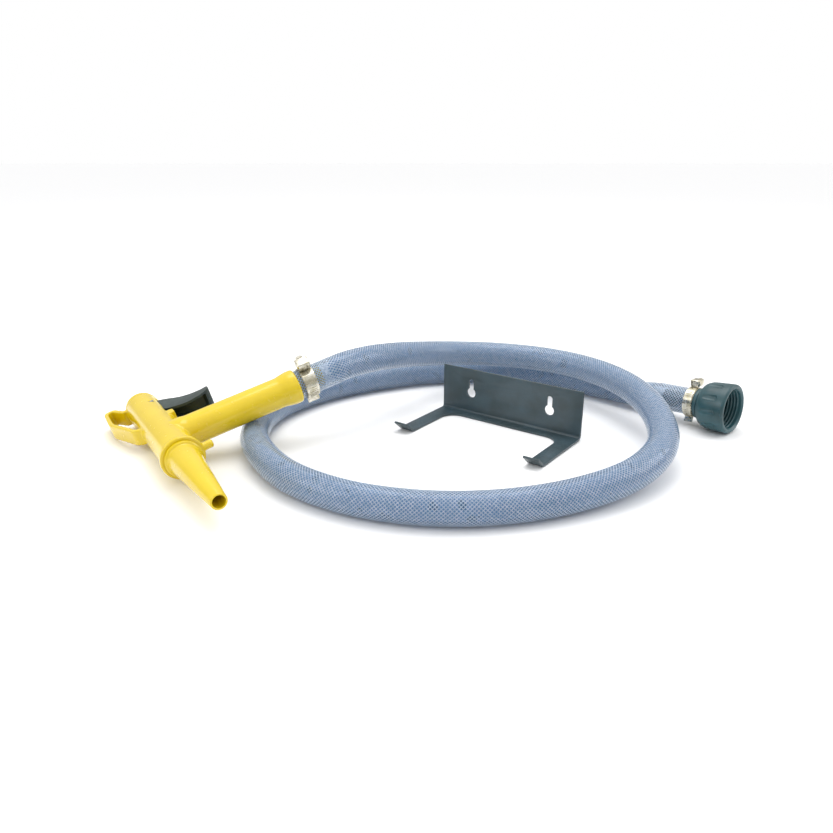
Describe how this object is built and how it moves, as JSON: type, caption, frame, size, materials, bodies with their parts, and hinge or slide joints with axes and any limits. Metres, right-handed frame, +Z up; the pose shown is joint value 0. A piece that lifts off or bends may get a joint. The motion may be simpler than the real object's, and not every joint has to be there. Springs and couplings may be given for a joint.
{
  "type": "gravity-feed fluid dispensing nozzle, hose and bracket kit",
  "caption": "Yellow trigger nozzle on a clear braided hose with worm-drive hose clamps, a dark threaded swivel coupling and a sheet-metal wall bracket.",
  "frame": {"origin": "on the bench, under the middle of the nozzle and the bracket", "axes": "+Z up, +Y away from the side that the kit is seen from, +X to the right, towards the coupling"},
  "size_m": [0.6112, 0.3621, 0.0797],
  "materials": {
    "yellow_plastic": "glossy moulded",
    "dark_plastic": "satin moulded",
    "dark_teal_plastic": "satin moulded",
    "clear_pvc": "clear blue tint over white braid",
    "zinc_steel": "bright zinc plate",
    "stainless_steel": "turned",
    "spring_steel": "drawn wire",
    "black_rubber": "matt",
    "bracket_paint": "satin paint"
  },
  "bodies": {
    "nozzle": {"nozzle_body": "yellow_plastic", "spout": "yellow_plastic", "rear_cap": "yellow_plastic", "seat_ring": "black_rubber", "gland_packing": "black_rubber", "gland_bush": "stainless_steel", "pivot_pin": "stainless_steel", "return_spring": "spring_steel", "nozzle_hose_tail": "yellow_plastic", "hose_end_at_nozzle": "clear_pvc", "hose": "clear_pvc", "hose_end_at_coupling": "clear_pvc", "nozzle_clamp_band": "zinc_steel", "nozzle_clamp_housing": "zinc_steel", "coupling_clamp_band": "zinc_steel", "coupling_clamp_housing": "zinc_steel", "coupling_hose_tail": "dark_teal_plastic", "coupling_washer": "black_rubber"},
    "trigger": {"trigger": "dark_plastic"},
    "valve": {"valve_stem": "stainless_steel", "valve_poppet": "black_rubber"},
    "nut": {"coupling_nut": "dark_teal_plastic"},
    "nozzle_screw": {"nozzle_clamp_screw": "zinc_steel"},
    "coupling_screw": {"coupling_clamp_screw": "zinc_steel"},
    "bracket": {"wall_bracket": "bracket_paint"}
  },
  "joints": [
    {"name": "trigger_hinge", "type": "hinge", "parent": "nozzle", "child": "trigger", "pos_m": [-0.17053, 0.0557, 0.02036], "axis": [0.2402, 0.1196, -0.9633], "range_deg": [0, 14], "stiffness_Nm_per_rad": 0.6, "springref_deg": -20.05},
    {"name": "stem_slide", "type": "slide", "parent": "nozzle", "child": "valve", "axis": [-0.5223, 0.8524, -0.0244], "range_m": [0, 0.00299], "deforming": ["return_spring"]},
    {"name": "nut_spin", "type": "hinge", "parent": "nozzle", "child": "nut", "pos_m": [0.3494, 0.0796, 0.0222], "axis": [0.6803, -0.7296, 0.0698], "continuous": true},
    {"name": "nozzle_screw_turn", "type": "hinge", "parent": "nozzle", "child": "nozzle_screw", "pos_m": [-0.02752, 0.0397, 0.07129], "axis": [-0.4927, 0.7751, 0.3956], "continuous": true},
    {"name": "coupling_screw_turn", "type": "hinge", "parent": "nozzle", "child": "coupling_screw", "pos_m": [0.34207, 0.08746, 0.03969], "axis": [0.7314, 0.682, 0], "continuous": true},
    {"name": "bracket_lift", "type": "slide", "parent": "nozzle", "child": "bracket", "axis": [0, 0, 1], "range_m": [0, 0.1]}
  ],
  "couplings": [
    {"joint": "trigger_hinge", "follows": "stem_slide", "rad_per_m": 81.633}
  ]
}
